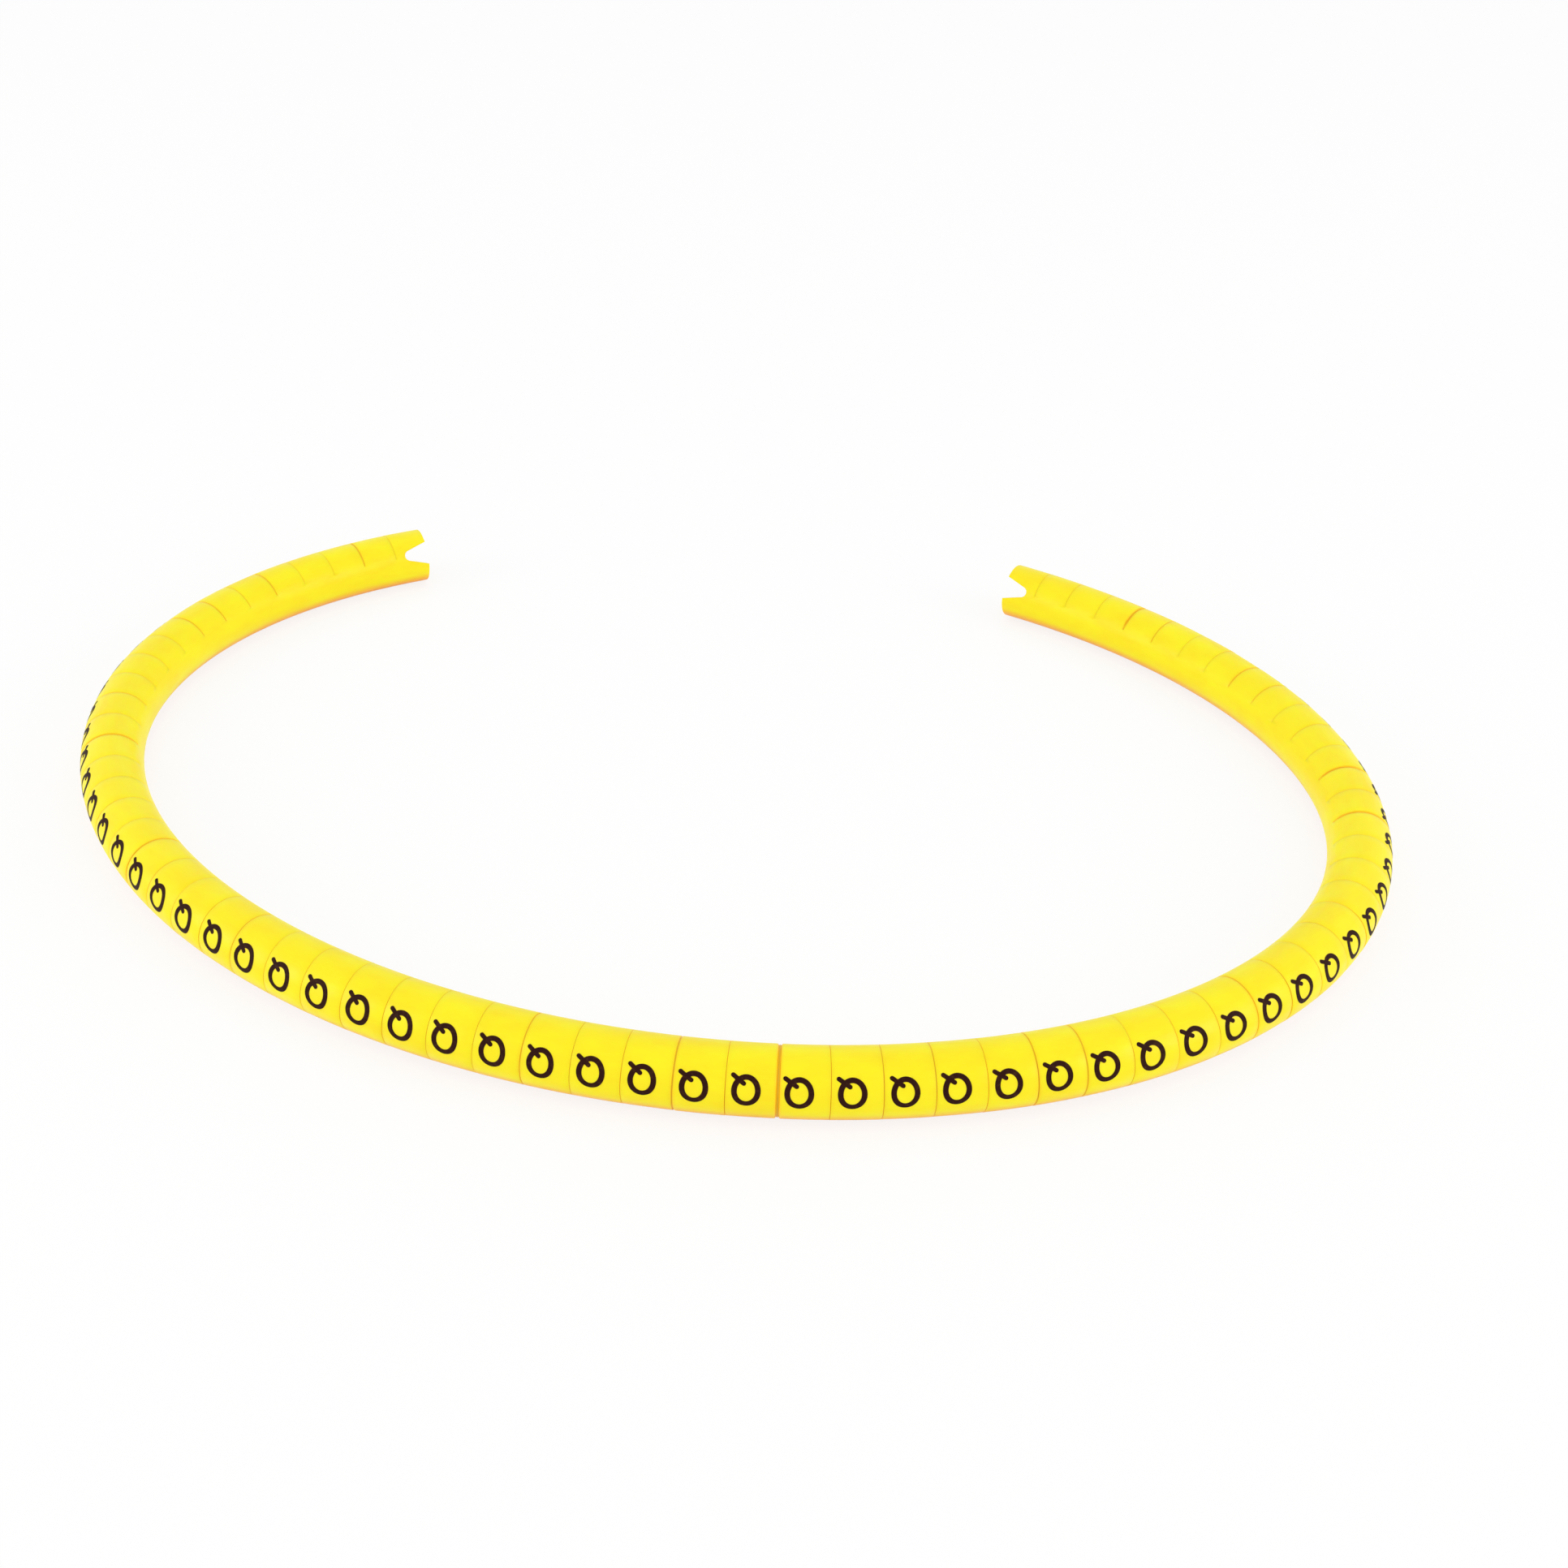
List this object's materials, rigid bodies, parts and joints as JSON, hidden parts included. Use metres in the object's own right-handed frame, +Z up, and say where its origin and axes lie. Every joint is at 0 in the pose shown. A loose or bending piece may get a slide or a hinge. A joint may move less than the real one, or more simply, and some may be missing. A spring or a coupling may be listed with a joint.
{
  "type": "wire marker strip",
  "caption": "Soft yellow PVC tube slit nearly through at every sleeve, curled in an open ring; sleeves break off and thread onto a wire to label it.",
  "frame": {"origin": "middle of the bounding box, on the surface that the strip lies on", "axes": "+Z up from that surface, +X along the ring's long way across, +Y towards the ring's opening"},
  "size_m": [0.129, 0.0975, 0.006],
  "materials": {
    "yellow_pvc": "satin soft PVC, bright yellow, slightly translucent, with a black printed letter on each sleeve"
  },
  "bodies": {
    "root": {"marker_strip": "yellow_pvc"}
  },
  "joints": []
}
